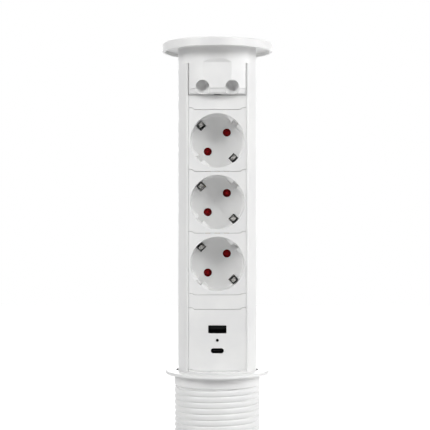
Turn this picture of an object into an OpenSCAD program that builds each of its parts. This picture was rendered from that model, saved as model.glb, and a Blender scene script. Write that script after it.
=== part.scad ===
// A pop-up socket: a round tower that slides up out of a threaded sleeve with a flange and a clamp nut.
// Z is up, z = 0 is the flange's underside, the front is -Y, and the tower stands fully raised.

/* [Tower] */
// Outside diameter of the tower
tower_d = 54.8; // [54:0.1:57]
// Wall of the tower's extruded shell
shell_wall = 2; // [1.6:0.1:2.4]
// Width of the front opening that the inserts fill
front_w = 39.7; // [39.5:0.1:40.5]
// Flat edge on each side of the front opening
rail_edge = 1.2; // [0.8:0.1:1.6]
// Height of the shelf under the lowest insert, above the flange's underside
shelf_z = 3.2; // [3:0.1:8]
// Length of tower that stays inside the sleeve
foot_len = 22; // [21:1:40]

/* [Inserts] */
// Height of a socket insert or the charger insert
insert_h = 42.5; // [41.5:0.5:48]
// Height of a blank insert
blank_h = 10; // [9:0.5:20]
// Thickness of an insert's face plate
face_t = 3; // [2.6:0.1:3.4]
// Gap between neighbouring inserts
seam = 0.25; // [0.15:0.05:0.5]
// Gap between an insert and the side of the opening
side_gap = 0.25; // [0.15:0.05:0.4]
// Height of the ears at an insert's top corners
ear_h = 1.2; // [0.8:0.1:1.8]
// Width of an ear
ear_w = 2.6; // [2:0.1:4]

/* [Socket wells] */
// Diameter of a socket's well
well_d = 37.4; // [36.6:0.1:37.6]
// Depth of the well
well_depth = 17.5; // [16.5:0.5:18.5]
// Wall of the well
well_wall = 0.7; // [0.5:0.05:0.8]
// Thickness of the well's floor
well_floor = 1.8; // [1.4:0.1:2.2]
// Bevel round the well's mouth
mouth_bevel = 0.3; // [0.1:0.05:0.4]
// Distance between the two pins
pin_spacing = 19; // [18.6:0.1:19.4]
// Diameter of a pin hole
pin_hole_d = 5.5; // [5:0.1:5.8]
// Tilt of the pin line from level
pin_angle = 45; // [30:5:60]
// Distance of the flat guide land on each side from the well's centre
land_r = 16.4; // [16:0.1:17.4]
// Width of the lead-in bevel at the front of a guide land
land_lead = 2.2; // [0.4:0.1:2.6]
// Width of the groove down the middle of a guide land
land_groove_w = 4.5; // [3:0.1:6]
// Distance of the earth contacts from the well's centre
earth_r = 16.2; // [15.6:0.1:16.4]
// Side of the window that an earth contact stands in
earth_window = 5.3; // [4.8:0.1:5.4]

/* [Contacts] */
// Outside diameter of a socket's contact housing
housing_d = 28.4; // [28:0.1:29]
// Wall of the contact housing
housing_wall = 1.1; // [0.9:0.1:1.2]
// Depth of the contact housing behind the well
housing_depth = 15.2; // [14.6:0.2:16]
// Thickness of the contact housing's back
housing_back = 1.5; // [1.2:0.1:2]
// Thickness of a shutter
shutter_t = 1.8; // [1.4:0.1:2]
// Diameter of the pivot that a shutter turns on
pivot_d = 3.6; // [3:0.1:4]
// Outside diameter of a pin contact
contact_d = 6.2; // [5.8:0.1:6.4]
// Bore of a pin contact
contact_bore = 4.6; // [4.4:0.1:4.8]
// Length of a pin contact
contact_len = 8.5; // [7:0.5:9]
// Diameter of a pin contact's tail
tail_d = 3; // [2:0.2:3.4]
// Thickness of the earth strips and busbars
strip_t = 0.8; // [0.6:0.1:1]
// Width of the earth strips and busbars
strip_w = 4; // [3:0.2:4.4]
// Diameter of the supply wires
wire_d = 2.8; // [2:0.2:3.2]

/* [Charger] */
// Width of the wide port
port_a_w = 12.6; // [12:0.1:13]
// Height of the wide port
port_a_h = 5.5; // [5:0.1:6]
// Height of the wide port above its insert's lower edge
port_a_z = 28.75; // [27:0.25:30]
// Width of the narrow port
port_c_w = 9; // [8.6:0.1:9.4]
// Height of the narrow port
port_c_h = 3.5; // [3.2:0.1:3.8]
// Height of the narrow port above its insert's lower edge
port_c_z = 14; // [12:0.25:15]
// Height of the indicator above its insert's lower edge
indicator_z = 21.3; // [20:0.1:23]
// Diameter of the indicator lens
indicator_d = 1.8; // [1.4:0.1:2.4]
// Metal thickness of the ports' shells
port_shell_t = 0.3; // [0.2:0.05:0.4]
// Thickness of the charger's circuit board
board_t = 1.6; // [1:0.2:2]
// Wall of the charger's box
box_wall = 1.4; // [1:0.1:2]
// Depth of the charger's box behind its face plate
box_depth = 26; // [25:0.5:30]

/* [Head] */
// Height of the apron below the round neck
apron_h = 22; // [20:0.5:26]
// Height of the neck that shows below the lid
neck_h = 9.5; // [8:0.5:20]
// Slot between the apron and the shell's edges
apron_gap = 0.6; // [0.4:0.05:1]
// Rise of the apron's sloped lower edge
chin_rise = 3.4; // [2:0.1:4]
// How far the sloped lower edge draws back
chin_depth = 2.2; // [1:0.1:3]
// Width of the flat label place
label_w = 19.5; // [17:0.5:21]
// Height of the label place above the apron's lower edge
label_h = 21.2; // [18:0.2:23]
// Diameter of the two thumb scoops
scoop_d = 9.6; // [8:0.1:10]
// Distance of each thumb scoop from the middle
scoop_x = 10.1; // [9:0.1:11]
// Height of the scoops' round centre above the apron's lower edge
scoop_z = 4.2; // [3:0.1:6]
// Width of the pry notch
notch_w = 4.8; // [3:0.1:8]

/* [Lid] */
// Diameter of the lid
lid_d = 77; // [75:0.5:90]
// Thickness of the lid
lid_t = 6; // [5:0.5:10]
// Depth of the hollow under the lid, which closes over the flange
lid_hollow = 2.6; // [2.5:0.1:4]
// Radius of the lid's upper edge
lid_edge = 1.2; // [0.6:0.1:2]

/* [Sleeve] */
// Diameter of the flange
flange_d = 72; // [68:0.5:74]
// Thickness of the flange
flange_t = 2.2; // [1.6:0.1:2.2]
// Radial clearance round the tower
slide_clear = 0.25; // [0.2:0.05:0.4]
// Wall of the sleeve below its thread
sleeve_wall = 1.5; // [1.4:0.1:2]
// Height of the thread
thread_h = 0.7; // [0.5:0.05:0.8]
// Pitch of the thread
thread_pitch = 4; // [4:0.5:6]
// Turns of the thread
thread_turns = 14; // [12:1:16]
// Length of the plain shank under the flange
shank_len = 8; // [7:0.5:12]
// Depth of the two guide channels in the sleeve's bore
channel_depth = 0.7; // [0.6:0.05:0.8]
// Width of the catches, which run in the guide channels
catch_w = 7; // [6:0.2:8]
// Height of the catches
catch_h = 8; // [6:0.5:9]
// Inward travel of a catch
catch_travel = 1.2; // [0.8:0.1:1.5]
// Bore of the cable grommet
cable_d = 8; // [6:0.5:9]

/* [Clamp] */
// Depth of the washer's top below the flange's underside, with the nut run down
clamp_depth = 46; // [40:1:46]
// Diameter of the washer
washer_d = 75.4; // [68:0.1:84]
// Thickness of the washer
washer_t = 1.6; // [1:0.1:2.4]
// Diameter of the nut across its grips
nut_d = 73.8; // [70:0.1:84]
// Wall of the nut between its thread and its grips
nut_wall = 3; // [2:0.1:4]
// Height of the nut
nut_h = 11; // [9:0.5:14]
// Clearance between the two threads
thread_clear = 0.3; // [0.25:0.05:0.35]
// Number of grips round the nut
grip_count = 10; // [6:1:14]

/* [Hidden] */
$fn = 96;

WHITE = "#e9e9ea";
BRASS = "#c8a24a";
STEEL = "#b9bcc0";
BLACK = "#161617";
RED = "#9c1c18";

// Tower section
tower_r = tower_d / 2;
shell_in_r = tower_r - shell_wall;
open_half = front_w / 2;
edge_half = open_half + rail_edge;
face_y = -sqrt(pow(tower_r, 2) - pow(edge_half, 2));
plate_back_y = face_y + face_t;
insert_half = open_half - side_gap;
snug = 0.1;
past = 1;

// Heights of the stack
charger_z = shelf_z;
lower_blank_z = charger_z + insert_h;
sockets_z = lower_blank_z + blank_h;
upper_blank_z = sockets_z + 3 * insert_h;
column_top = upper_blank_z + blank_h;
shell_top = column_top + apron_h;
lid_z = shell_top + neck_h;
neck_top = lid_z + lid_hollow;
foot_z = -foot_len;
rest_gap = 0.3;
travel = lid_z - rest_gap;

// Hooks that hold an insert behind the shell's edges, and the ribs behind the hooks
hook_t = 1.3;
hook_clear = 0.2;
rail_t = 1.25;
hook_y = -sqrt(pow(shell_in_r, 2) - pow(open_half, 2)) + rail_t;
hook_x = sqrt(pow(shell_in_r, 2) - pow(hook_y, 2)) - hook_clear;
hook_leg = 2.2;
hook_h = 4;
hook_inset = 1.6;
rib_y = max(hook_y + hook_t, plate_back_y) + hook_clear;
rib_t = 1.6;
rib_in = open_half;
rib_out = sqrt(pow(tower_r - shell_wall / 2, 2) - pow(rib_y, 2));

// Depths inside a socket
well_r = well_d / 2;
floor_y = face_y + well_depth;
well_back_y = floor_y + well_floor;
shutter_clear = 0.4;
shutter_y = well_back_y + shutter_clear;
shutter_spring_h = 2;
shutter_spring_wall = 1.2;
spring_clear = 0.3;
spring_seat_y = shutter_y + shutter_t + shutter_spring_h;
housing_back_y = well_back_y + housing_depth;
contact_seat_y = housing_back_y - housing_back;
contact_room_r = contact_d / 2 + spring_clear;
arm_r = max(earth_r, housing_d / 2 + spring_clear + strip_t / 2);
pivot_clear = 0.05;
spring_d = pivot_d + 2 * shutter_spring_wall;
lobe_lap = 0.4;
lobe_d = pin_hole_d + 2 * lobe_lap;
arm_w = 4.4;
strip_back_y = housing_back_y + strip_t;
bus_gap = 1.4;
bus_y = strip_back_y + strip_t + bus_gap;
pin_x = pin_spacing / 2 * cos(pin_angle);
pin_z = pin_spacing / 2 * sin(pin_angle);
function socket_mid(i) = sockets_z + (i + 0.5) * insert_h;
bus_low = sockets_z;
bus_high = socket_mid(2) + pin_z + strip_w / 2;

// Depths inside the charger
port_lip = 1;
port_len = 14;
board_y = face_y + port_len;
board_back_y = board_y + board_t;
board_half = 15;
box_half = board_half + box_wall + hook_clear;
box_inset = 2.4;
box_z0 = box_inset;
box_z1 = insert_h - box_inset;
indicator_flange = 0.8;
indicator_proud = 0.15;

// Head
apron_half = open_half - apron_gap;
chin_z = column_top + apron_gap;
apron_t = 2;
apron_back_y = face_y + apron_t;
neck_wall = 4;
head_bore_r = tower_r - neck_wall;
head_floor = 2;
head_floor_z = chin_z + scoop_z + scoop_d / 2 + head_floor;
label_y = -sqrt(pow(tower_r, 2) - pow(label_w / 2, 2));
label_rise = 2.8;
scoop_sink = 0.4;
scoop_y = -sqrt(pow(tower_r, 2) - pow(scoop_x, 2)) + scoop_sink;
notch_h = 1.2;
notch_depth = 4;
spigot_len = 8;
spigot_front_y = -8;
boss_r = 4;
boss_reach = head_bore_r - boss_r + past;
boss_turn = 25;
screw_r = 1.5;
screw_head_r = 2.7;
screw_head_h = 2;
screw_sink = 0.4;
lid_skin = 1;
lid_hole_top = lid_z + lid_t - lid_skin;
lid_clear = 0.6;

// Sleeve and clamp
flange_r = flange_d / 2;
bore_r = tower_r + slide_clear;
root_r = bore_r + sleeve_wall;
crest_r = root_r + thread_h;
channel_r = bore_r + channel_depth;
channel_clear = 0.3;
foot_floor = 4.1;
catch_low = foot_z + foot_floor;
catch_top = catch_low + catch_h;
channel_top = catch_top + rest_gap;
catch_tip_r = channel_r - channel_clear;
catch_len = 11;
catch_tail_x = catch_tip_r - catch_len;
catch_bevel = 1;
catch_spring_d = 3;
catch_spring_room = 5;
catch_spring_bite = 4.5;
catch_spring_seat = catch_tail_x - catch_spring_room;
blade_w = 4.4;
blade_depth = 0.95;
wiper_drop = 3.6;
wiper_h = 2.4;
wiper_low = -wiper_drop - wiper_h;
wiper_depth = 0.8;
wiper_clear = 0.1;
sleeve_spare = 6;
sleeve_low = foot_z - travel - sleeve_spare;
end_cap_t = 2;
end_cap_spigot = 3;
end_cap_lip = 8.6;
end_cap_bore = bore_r - end_cap_lip;
thread_top = -shank_len - thread_pitch / 2;
thread_low = thread_top - thread_turns * thread_pitch;
thread_steps = 36;
thread_foot = 1.4;
thread_tip = 0.5;
washer_gap = 0.1;
nut_top = -clamp_depth - washer_t - washer_gap;
grip_drop = 2;

// Base plug
plug_r = shell_in_r - snug;
plug_cover = 3.4;
plug_top = channel_top + plug_cover;
grommet_wall = 2;
grommet_lip = 1.2;
grommet_brim = 1.5;
base_screw_z = (foot_z + plug_top) / 2;
base_screw_in = 5;
base_screw_turn = 55;

// A bar between two corners, given as ranges along X, Y and Z
module bar(x, y, z) {
    translate([x[0], y[0], z[0]])
        cube([x[1] - x[0], y[1] - y[0], z[1] - z[0]]);
}

// An upright rod
module rod(r, z0, z1) {
    translate([0, 0, z0])
        cylinder(r = r, h = z1 - z0);
}

// A rod that runs from front to back
module deep_rod(r, y0, y1) {
    translate([0, y0, 0])
        rotate([-90, 0, 0])
            cylinder(r = r, h = y1 - y0);
}

// A front outline drawn in X and Z, given depth along Y
module deep(y0, y1) {
    translate([0, y1, 0])
        rotate([90, 0, 0])
            linear_extrude(y1 - y0)
                children();
}

// A side outline drawn in Y and Z, given width along X
module wide(x0, x1) {
    translate([x0, 0, 0])
        rotate([90, 0, 90])
            linear_extrude(x1 - x0)
                children();
}

module both_sides() {
    for (side = [0, 1])
        mirror([side, 0, 0])
            children();
}

// The front of an upright cylinder, before a plane of constant Y
module front_slice(r, half, y_back, z0, z1) {
    intersection() {
        rod(r, z0, z1);
        bar([-half, half], [-r - past, y_back], [z0, z1]);
    }
}

// A right-handed ridge that winds round Z
function ridge_turn(i, r, z) =
    [r * cos(360 * i / thread_steps), r * sin(360 * i / thread_steps), z + thread_pitch * i / thread_steps];

module ridge(in_r, out_r, foot, tip, z0, turns) {
    steps = turns * thread_steps;
    section = [[in_r, -foot], [out_r, -tip], [out_r, tip], [in_r, foot]];
    points = [for (i = [0:steps]) for (p = section) ridge_turn(i, p[0], z0 + p[1])];
    sides = [for (i = [0:steps - 1]) for (k = [0:3])
        let (a = 4 * i + k, b = 4 * i + (k + 1) % 4)
        each [[a, b, b + 4], [a, b + 4, a + 4]]];
    last = 4 * steps;
    ends = [[2, 1, 0], [3, 2, 0], [last, last + 1, last + 2], [last, last + 2, last + 3]];
    polyhedron(points, concat(sides, ends));
}

// Flange, shank, thread and guide tube, moulded in one
module desk_sleeve() {
    rim = flange_t / 2;
    color(WHITE)
    difference() {
        union() {
            rod(flange_r, 0, flange_t - rim / 2);
            translate([0, 0, flange_t - rim / 2])
                cylinder(r1 = flange_r, r2 = flange_r - rim, h = rim / 2);
            rod(crest_r, -shank_len, rim);
            rod(root_r, sleeve_low, 0);
            ridge(root_r - sleeve_wall / 4, crest_r, thread_foot, thread_tip, thread_low, thread_turns);
        }
        rod(bore_r, sleeve_low - past, flange_t + past);
        rod(bore_r + wiper_depth, wiper_low, wiper_low + wiper_h);
        both_sides() {
            bar([0, blade_depth + bore_r], [-blade_w / 2, blade_w / 2],
                [channel_top - past, flange_t + past]);
            intersection() {
                rod(channel_r, sleeve_low - past, channel_top);
                bar([0, channel_r + past], [-catch_w / 2 - channel_clear, catch_w / 2 + channel_clear],
                    [sleeve_low - past, channel_top]);
            }
        }
    }
}

// Felt ring that wipes the tower and holds it up
module wiper_ring() {
    color("#8d8f92")
    difference() {
        rod(bore_r + wiper_depth - snug / 2, wiper_low + snug / 2, wiper_low + wiper_h - snug / 2);
        rod(tower_r + wiper_clear, wiper_low - past, wiper_low + wiper_h + past);
        both_sides()
            bar([0, channel_r + past], [-blade_w / 2, blade_w / 2],
                [wiper_low - past, wiper_low + wiper_h + past]);
    }
}

// Ring in the sleeve's lower end, open for the cable
module sleeve_end_cap() {
    color("#c9cacc")
    difference() {
        union() {
            rod(root_r, sleeve_low - end_cap_t, sleeve_low);
            rod(bore_r - snug, sleeve_low - end_cap_t, sleeve_low + end_cap_spigot);
        }
        rod(end_cap_bore, sleeve_low - end_cap_t - past, sleeve_low + end_cap_spigot + past);
    }
}

module clamp_washer() {
    color(STEEL)
    difference() {
        rod(washer_d / 2, -clamp_depth - washer_t, -clamp_depth);
        rod(crest_r + thread_clear, -clamp_depth - washer_t - past, -clamp_depth + past);
    }
}

// Ring nut with grips, threaded to run on the sleeve
module clamp_nut() {
    nut_low = nut_top - nut_h;
    ring_r = crest_r + thread_clear + nut_wall;
    grip_w = PI * nut_d / grip_count / 2;
    turns = ceil(nut_h / thread_pitch) + 2;
    start = thread_low + thread_pitch * (floor((nut_low - thread_low) / thread_pitch) - 1);
    color("#dcdddf")
    difference() {
        union() {
            rod(ring_r, nut_low, nut_top);
            for (i = [0:grip_count - 1])
                rotate([0, 0, 360 * (i + 0.5) / grip_count])
                    bar([ring_r - past, nut_d / 2], [-grip_w / 2, grip_w / 2],
                        [nut_low, nut_top - grip_drop]);
        }
        rod(root_r + thread_clear, nut_low - past, nut_top + past);
        ridge(root_r - sleeve_wall / 4, crest_r + thread_clear, thread_foot + thread_clear,
            thread_tip + thread_clear, start, turns);
    }
}

// Extruded shell, open and flat at the front, with ribs inside that back the inserts
module tower_shell() {
    color(WHITE)
    difference() {
        union() {
            difference() {
                rod(tower_r, foot_z, shell_top);
                rod(shell_in_r, foot_z - past, shell_top + past);
            }
            both_sides()
                bar([rib_in, rib_out], [rib_y, rib_y + rib_t], [charger_z, column_top]);
        }
        bar([-tower_r, tower_r], [-tower_r - past, face_y], [foot_z - past, shell_top + past]);
        bar([-open_half, open_half], [-tower_r, hook_y], [foot_z - past, shell_top + past]);
        both_sides()
            bar([shell_in_r - past, tower_r + past],
                [-catch_w / 2 - channel_clear, catch_w / 2 + channel_clear],
                [catch_low - channel_clear, catch_top + channel_clear]);
        base_screw_places()
            rod(screw_r + snug, plug_r - base_screw_in, tower_r + past);
    }
}

// Round neck, and the apron that fills the front above the inserts
module tower_head() {
    label_top = chin_z + label_h + label_rise * (tower_r + past + label_y) / (tower_r + label_y);
    color(WHITE)
    difference() {
        union() {
            rod(tower_r, shell_top, neck_top);
            front_slice(tower_r, apron_half, apron_back_y, chin_z, shell_top + past);
            intersection() {
                rod(shell_in_r - snug, shell_top - spigot_len, shell_top + past);
                bar([-tower_r, tower_r], [spigot_front_y, tower_r],
                    [shell_top - spigot_len, shell_top + past]);
            }
        }
        difference() {
            rod(head_bore_r, head_floor_z, neck_top + past);
            lid_screw_places()
                rod(boss_r, shell_top, neck_top + 2 * past);
        }
        lid_screw_places()
            rod(screw_r + snug, shell_top - past, neck_top);
        // Sloped lower edge
        difference() {
            rod(tower_r + past, chin_z - past, chin_z + chin_rise);
            translate([0, 0, chin_z - past])
                cylinder(r1 = tower_r - chin_depth * (chin_rise + past) / chin_rise, r2 = tower_r,
                    h = chin_rise + past);
        }
        // Flat label place with a leaning upper edge, and its part of the slope
        wide(-tower_r, tower_r)
            polygon([[label_y + chin_depth, chin_z - past], [label_y + chin_depth, chin_z],
                [label_y, chin_z + chin_rise], [label_y, chin_z + label_h],
                [-tower_r - past, label_top], [-tower_r - past, chin_z - past]]);
        both_sides()
            translate([scoop_x, scoop_y, chin_z + scoop_z]) {
                sphere(d = scoop_d);
                rod(scoop_d / 2, -apron_h, 0);
            }
        bar([-notch_w / 2, notch_w / 2], [face_y - notch_depth, apron_back_y + past],
            [chin_z - past, chin_z + notch_h]);
    }
}

// Disc with a rounded edge, hollow below so that it closes over the flange
module lid() {
    lid_r = lid_d / 2;
    hollow_r = flange_r + lid_clear;
    lid_top = lid_z + lid_t;
    edge_steps = 6;
    edge = [for (i = [0:edge_steps])
        let (turn = 90 * i / edge_steps)
        [lid_r - lid_edge + lid_edge * cos(turn), lid_top - lid_edge + lid_edge * sin(turn)]];
    rim_edge = 0.4;
    color(WHITE)
    difference() {
        rotate_extrude()
            polygon(concat([[0, neck_top], [hollow_r - rim_edge, neck_top], [hollow_r, neck_top - rim_edge],
                [hollow_r, lid_z], [lid_r - rim_edge, lid_z], [lid_r, lid_z + rim_edge]],
                edge, [[0, lid_top]]));
        lid_screw_places()
            rod(screw_r, neck_top - past, lid_hole_top);
    }
}

module lid_screw_places() {
    both_sides()
        rotate([0, 0, boss_turn])
            translate([boss_reach, 0, 0])
                children();
}

module lid_screws() {
    color(STEEL)
    lid_screw_places() {
        rod(screw_r, shell_top, lid_hole_top - screw_sink);
        rod(screw_head_r, shell_top - screw_head_h, shell_top);
    }
}

module base_screw_places() {
    for (turn = [base_screw_turn, 180 - base_screw_turn])
        translate([0, 0, base_screw_z])
            rotate([0, 90, turn])
                children();
}

module base_screws() {
    color(STEEL)
    base_screw_places()
        rod(screw_r, plug_r - base_screw_in + snug, tower_r - screw_sink);
}

// Plug in the shell's lower end, with the round foot and the shelf at its front
module tower_base() {
    color("#dedfe1")
    difference() {
        union() {
            rod(plug_r, foot_z, plug_top);
            front_slice(tower_r, edge_half, face_y, foot_z, shelf_z);
            bar([-insert_half, insert_half], [face_y - past, plate_back_y], [foot_z, shelf_z]);
            bar([-insert_half, insert_half], [plate_back_y - past, hook_y], [foot_z, plug_top]);
            both_sides()
                deep(face_y, plate_back_y)
                    translate([0, shelf_z])
                        polygon(ear_points());
        }
        rod(cable_d / 2 + grommet_wall + snug / 2, foot_z - past, plug_top + past);
        both_sides() {
            bar([catch_tail_x - catch_travel - channel_clear, tower_r],
                [-catch_w / 2 - channel_clear / 2, catch_w / 2 + channel_clear / 2],
                [catch_low - channel_clear / 2, catch_top + channel_clear / 2]);
            catch_spring_bore(catch_spring_seat, catch_spring_d + 2 * snug);
        }
        base_screw_places()
            rod(screw_r + snug / 2, plug_r - base_screw_in, tower_r);
    }
}

module catch_spring_bore(x0, d) {
    translate([x0, 0, (catch_low + catch_top) / 2])
        rotate([0, 90, 0])
            cylinder(d = d, h = catch_tail_x + catch_spring_bite - x0);
}

// Rubber grommet that the cable comes in through
module cable_grommet() {
    color(BLACK)
    difference() {
        union() {
            rod(cable_d / 2 + grommet_wall, foot_z - grommet_lip, plug_top);
            rod(cable_d / 2 + grommet_wall + grommet_brim, foot_z - grommet_lip, foot_z);
        }
        rod(cable_d / 2, foot_z - grommet_lip - past, plug_top + past);
    }
}

// Catch that runs in a guide channel and stops the tower at the top
module catch() {
    color("#cfd0d2")
    difference() {
        half = catch_w / 2;
        side_end = catch_tip_r - catch_bevel;
        translate([0, 0, catch_low])
            linear_extrude(catch_h)
                polygon([[catch_tail_x, -half], [side_end, -half], [catch_tip_r, -half + catch_bevel],
                    [catch_tip_r, half - catch_bevel], [side_end, half], [catch_tail_x, half]]);
        catch_spring_bore(catch_tail_x - past, catch_spring_d + 4 * snug);
    }
}

module catch_right() {
    catch();
}

module catch_left() {
    mirror([1, 0, 0])
        catch();
}

module catch_springs() {
    pressed_len = catch_spring_room + catch_spring_bite - catch_travel - spring_clear;
    color(STEEL)
    both_sides()
        translate([catch_spring_seat, 0, (catch_low + catch_top) / 2])
            rotate([0, 90, 0])
                cylinder(d = catch_spring_d, h = pressed_len);
}

// Outline of the ear at the right-hand corner of an insert whose top edge is at zero
function ear_points() =
    [[insert_half - ear_w - ear_h, 0], [insert_half - ear_w, ear_h], [insert_half, ear_h],
        [insert_half, -past], [insert_half - ear_w - ear_h, -past]];

// Face plate whose lower corners are cut for the ears below it, with a hook at each corner
module insert_plate(h, ears, hook_places) {
    low = seam / 2;
    high = h - seam / 2;
    inner = insert_half - ear_w - ear_h;
    deep(face_y, plate_back_y)
        polygon([[inner, low], [insert_half - ear_w, low + ear_h], [insert_half, low + ear_h],
            [insert_half, high], [-insert_half, high], [-insert_half, low + ear_h],
            [-insert_half + ear_w, low + ear_h], [-inner, low]]);
    if (ears)
        both_sides()
            deep(face_y, plate_back_y)
                translate([0, high])
                    polygon(ear_points());
    both_sides()
        for (z = hook_places) {
            bar([insert_half - hook_leg, insert_half], [plate_back_y - past, hook_y + hook_t],
                [z, z + hook_h]);
            bar([insert_half - hook_leg, hook_x], [hook_y, hook_y + hook_t], [z, z + hook_h]);
        }
}

module blank(ears) {
    color(WHITE)
        insert_plate(blank_h, ears, [(blank_h - hook_h) / 2]);
}

module upper_blank() {
    translate([0, 0, upper_blank_z])
        blank(false);
}

module lower_blank() {
    translate([0, 0, lower_blank_z])
        blank(true);
}

// Moves a socket's piece from its own centre to its insert
module at_socket(i) {
    translate([0, 0, socket_mid(i)])
        children();
}

// Turns a socket's piece so that the pin line, drawn along X, leans to its angle
module lean() {
    rotate([0, -pin_angle, 0])
        children();
}

// Face and well of an earthed socket, with guide lands on the pin line and earth windows across it
module socket_face() {
    reach = well_r + past;
    front_y = face_y - past;
    lead_y = face_y + land_lead;
    lead_r = land_r + land_lead;
    color(WHITE)
    difference() {
        union() {
            translate([0, 0, -insert_h / 2])
                insert_plate(insert_h, true, [hook_inset, insert_h - hook_inset - hook_h]);
            deep_rod(well_r + well_wall, plate_back_y - past, well_back_y);
        }
        intersection() {
            union() {
                deep_rod(well_r, face_y - past, floor_y);
                translate([0, face_y, 0])
                    rotate([-90, 0, 0])
                        cylinder(r1 = well_r + mouth_bevel, r2 = well_r, h = mouth_bevel);
            }
            lean() {
                translate([0, 0, -reach])
                    linear_extrude(2 * reach)
                        polygon([[-land_r, floor_y], [-land_r, lead_y], [-lead_r, face_y], [-lead_r, front_y],
                            [lead_r, front_y], [lead_r, face_y], [land_r, lead_y], [land_r, floor_y]]);
                bar([-reach, reach], [front_y, floor_y], [-land_groove_w / 2, land_groove_w / 2]);
            }
        }
        lean()
            both_sides()
                translate([pin_spacing / 2, 0, 0])
                    deep_rod(pin_hole_d / 2, floor_y - past, well_back_y + past);
        lean()
            for (side = [-1, 1])
                translate([0, 0, side * earth_r])
                    bar([-earth_window / 2, earth_window / 2], [floor_y - past, well_back_y + past],
                        [-earth_window / 2, earth_window / 2]);
    }
}

module socket_face_top() {
    at_socket(2) socket_face();
}

module socket_face_middle() {
    at_socket(1) socket_face();
}

module socket_face_bottom() {
    at_socket(0) socket_face();
}

// Two-armed shutter that turns away from both pin holes at once
module shutter() {
    color(RED)
    lean()
        difference() {
            union() {
                bar([-pin_spacing / 2, pin_spacing / 2], [shutter_y, shutter_y + shutter_t],
                    [-arm_w / 2, arm_w / 2]);
                deep_rod(spring_d / 2 + lobe_lap, shutter_y, shutter_y + shutter_t);
                both_sides()
                    translate([pin_spacing / 2, 0, 0])
                        deep_rod(lobe_d / 2, shutter_y, shutter_y + shutter_t);
            }
            deep_rod(pivot_d / 2 + pivot_clear, shutter_y - past, shutter_y + shutter_t + past);
        }
}

module shutter_top() {
    at_socket(2) shutter();
}

module shutter_middle() {
    at_socket(1) shutter();
}

module shutter_bottom() {
    at_socket(0) shutter();
}

// The coil spring round each shutter's pivot, as the ring that it fills
module shutter_springs() {
    color(STEEL)
    for (i = [0:2])
        at_socket(i)
            difference() {
                deep_rod(spring_d / 2, shutter_y + shutter_t + spring_clear, spring_seat_y);
                deep_rod(pivot_d / 2 + spring_clear, shutter_y, spring_seat_y + past);
            }
}

// A round outline that swells round the pin contacts where they need more room
module housing_outline(r, room_r, y0, y1) {
    deep_rod(r, y0, y1);
    if (pin_spacing / 2 + room_r > r)
        lean()
            both_sides()
                translate([pin_spacing / 2, 0, 0])
                    deep_rod(room_r, y0, y1);
}

// Cup behind a well that holds the pin contacts and the shutter's pivot
module contact_housing() {
    color("#3a3b3e")
    difference() {
        union() {
            difference() {
                housing_outline(housing_d / 2, contact_room_r + housing_wall, well_back_y, housing_back_y);
                housing_outline(housing_d / 2 - housing_wall, contact_room_r, well_back_y - past,
                    contact_seat_y);
            }
            deep_rod(pivot_d / 2, well_back_y + snug, contact_seat_y + past / 2);
            deep_rod(spring_d / 2, spring_seat_y, contact_seat_y + past / 2);
        }
        lean()
            both_sides()
                translate([pin_spacing / 2, 0, 0])
                    deep_rod(tail_d / 2 + snug / 2, contact_seat_y - past, housing_back_y + past);
    }
}

module contact_housing_top() {
    at_socket(2) contact_housing();
}

module contact_housing_middle() {
    at_socket(1) contact_housing();
}

module contact_housing_bottom() {
    at_socket(0) contact_housing();
}

// Two split brass tubes that grip the pins, each with a tail to its busbar
module pin_contacts() {
    mouth_y = contact_seat_y - contact_len;
    slit = 0.8;
    bore_floor = 1.5;
    slit_floor = 2.5;
    color(BRASS)
    lean()
        both_sides()
            translate([pin_spacing / 2, 0, 0])
                difference() {
                    union() {
                        deep_rod(contact_d / 2, mouth_y, contact_seat_y);
                        deep_rod(tail_d / 2, contact_seat_y - past, bus_y);
                    }
                    deep_rod(contact_bore / 2, mouth_y - past, contact_seat_y - bore_floor);
                    bar([-contact_d, contact_d], [mouth_y - past, contact_seat_y - slit_floor],
                        [-slit / 2, slit / 2]);
                }
}

module pin_contacts_top() {
    at_socket(2) pin_contacts();
}

module pin_contacts_middle() {
    at_socket(1) pin_contacts();
}

module pin_contacts_bottom() {
    at_socket(0) pin_contacts();
}

// Steel strip behind the housing whose two bent ends come forward into the well
module earth_strip() {
    bow = 1.1;
    bow_start = 3;
    bow_peak = 8;
    arm_reach = 12.5;
    route = [[strip_back_y, arm_r], [floor_y - bow_start, arm_r], [floor_y - bow_peak, earth_r - bow],
        [floor_y - arm_reach, earth_r + bow / 2]];
    outline = concat([for (p = route) [p[0], p[1] - strip_t / 2]],
        [for (i = [len(route) - 1:-1:0]) [route[i][0], route[i][1] + strip_t / 2]]);
    color(STEEL)
    lean() {
        bar([-strip_w / 2, strip_w / 2], [housing_back_y, strip_back_y], [-arm_r, arm_r]);
        for (side = [0, 1])
            mirror([0, 0, side])
                wide(-strip_w / 2, strip_w / 2)
                    polygon(outline);
    }
}

module earth_strip_top() {
    at_socket(2) earth_strip();
}

module earth_strip_middle() {
    at_socket(1) earth_strip();
}

module earth_strip_bottom() {
    at_socket(0) earth_strip();
}

module busbar(x, y) {
    color(BRASS)
        bar([x - strip_w / 2, x + strip_w / 2], [y, y + strip_t], [bus_low, bus_high]);
}

module line_busbar() {
    busbar(pin_x, bus_y);
}

module neutral_busbar() {
    busbar(-pin_x, bus_y);
}

module earth_busbar() {
    busbar(0, strip_back_y);
}

// Line, neutral and earth wires from the base up to the busbars
module supply_wires() {
    places = [[pin_x, bus_y + strip_t / 2], [-pin_x, bus_y + strip_t / 2], [0, strip_back_y + strip_t / 2]];
    color("#7b5a3c")
    for (p = places)
        translate([p[0], p[1], 0])
            rod(wire_d / 2, plug_top, bus_low);
}

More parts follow.
